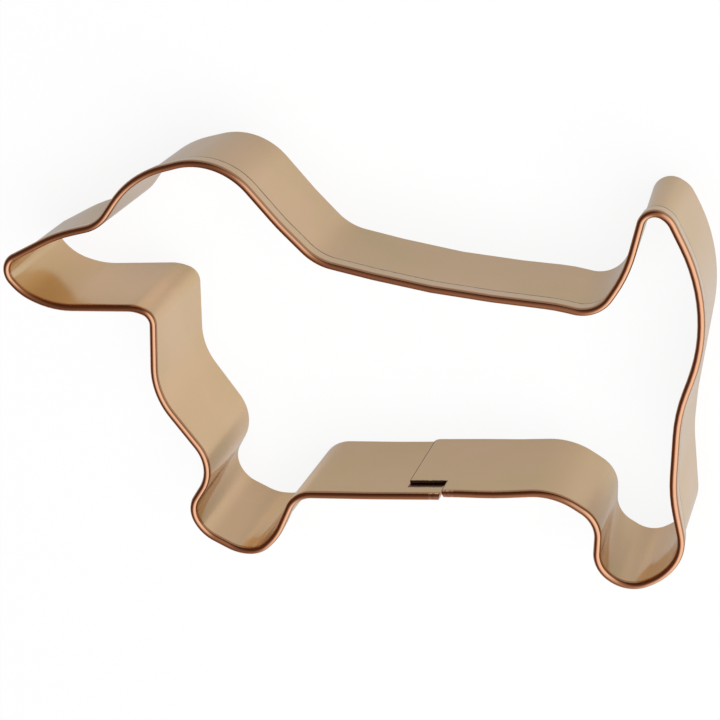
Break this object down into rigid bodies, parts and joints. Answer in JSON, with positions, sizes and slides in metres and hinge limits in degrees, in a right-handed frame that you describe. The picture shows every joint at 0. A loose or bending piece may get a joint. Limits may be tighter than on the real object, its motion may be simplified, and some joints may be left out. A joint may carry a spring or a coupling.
{
  "type": "cookie cutter",
  "caption": "Cookie cutter in the shape of a long-backed dog, bent from a strip of copper sheet with a hemmed rim, a plain cutting edge and a lapped seam.",
  "frame": {"origin": "middle of the outline's box, on the plane of the cutting edge", "axes": "+X from the muzzle to the tail, +Y from the feet to the back, +Z from the cutting edge up to the hemmed rim"},
  "size_m": [0.1262, 0.075, 0.0222],
  "materials": {
    "copper": "bright rolled copper",
    "solder": "dull tin solder"
  },
  "bodies": {
    "root": {"cutter_strip": "copper", "lap_solder": "solder"}
  },
  "joints": []
}
